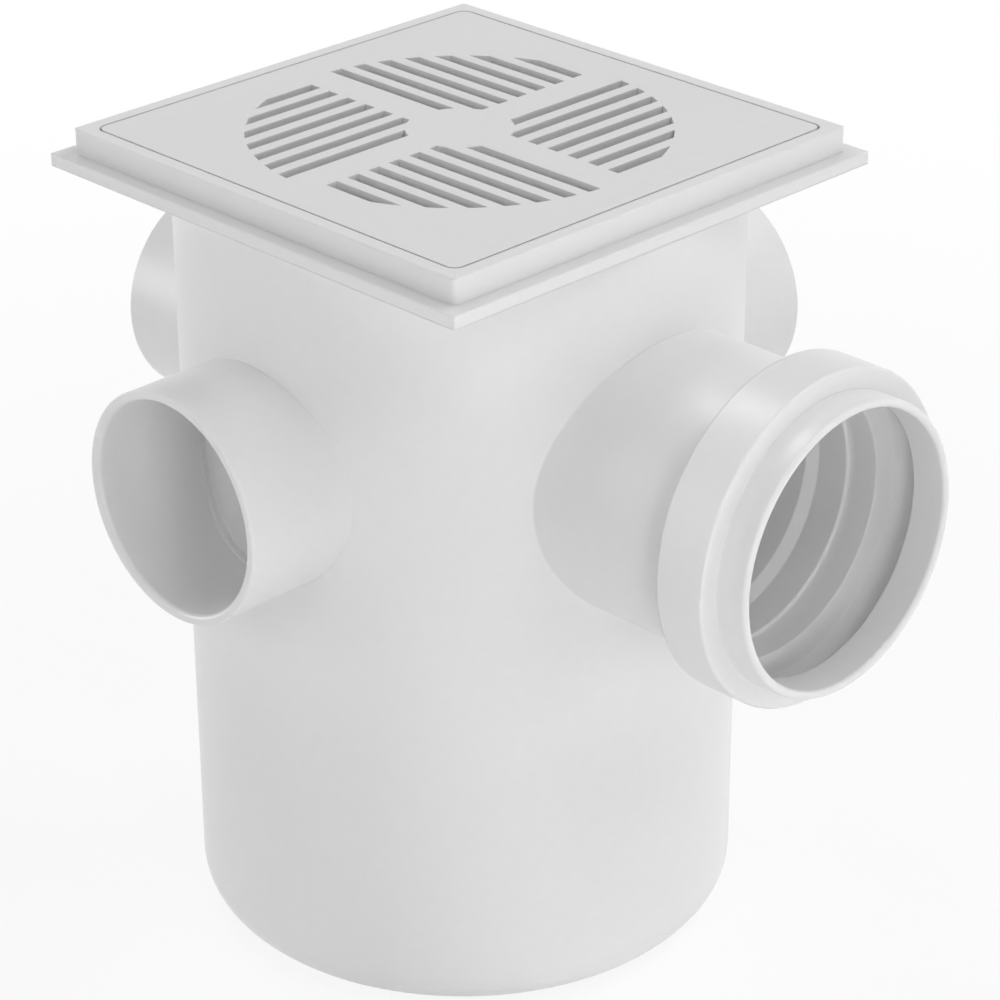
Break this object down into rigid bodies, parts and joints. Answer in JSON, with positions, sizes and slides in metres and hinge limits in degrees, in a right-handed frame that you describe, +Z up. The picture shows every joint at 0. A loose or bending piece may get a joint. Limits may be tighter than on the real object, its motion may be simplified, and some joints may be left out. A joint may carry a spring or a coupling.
{
  "type": "gully trap",
  "caption": "Round gully pot with a square slotted grate in a frame, three closed pipe inlets, a ring-seal outlet and an inner elbow that holds the water seal.",
  "frame": {"origin": "centre of the flat underside of the pot, on the pot's axis", "axes": "+Z up along the pot's axis to the grate, +X along the outlet's axis out of its mouth, +Y out of one side inlet"},
  "size_m": [0.1678, 0.1442, 0.1592],
  "materials": {
    "pot": "satin moulded rigid PVC",
    "frame": "satin moulded rigid PVC",
    "grate": "fine matt moulded plastic",
    "trap": "satin moulded rigid PVC",
    "plug": "satin moulded rigid PVC"
  },
  "bodies": {
    "root": {"gully_body": "pot", "grate_frame": "frame", "grate": "grate", "trap_elbow": "trap", "cleanout_plug": "plug"}
  },
  "joints": []
}
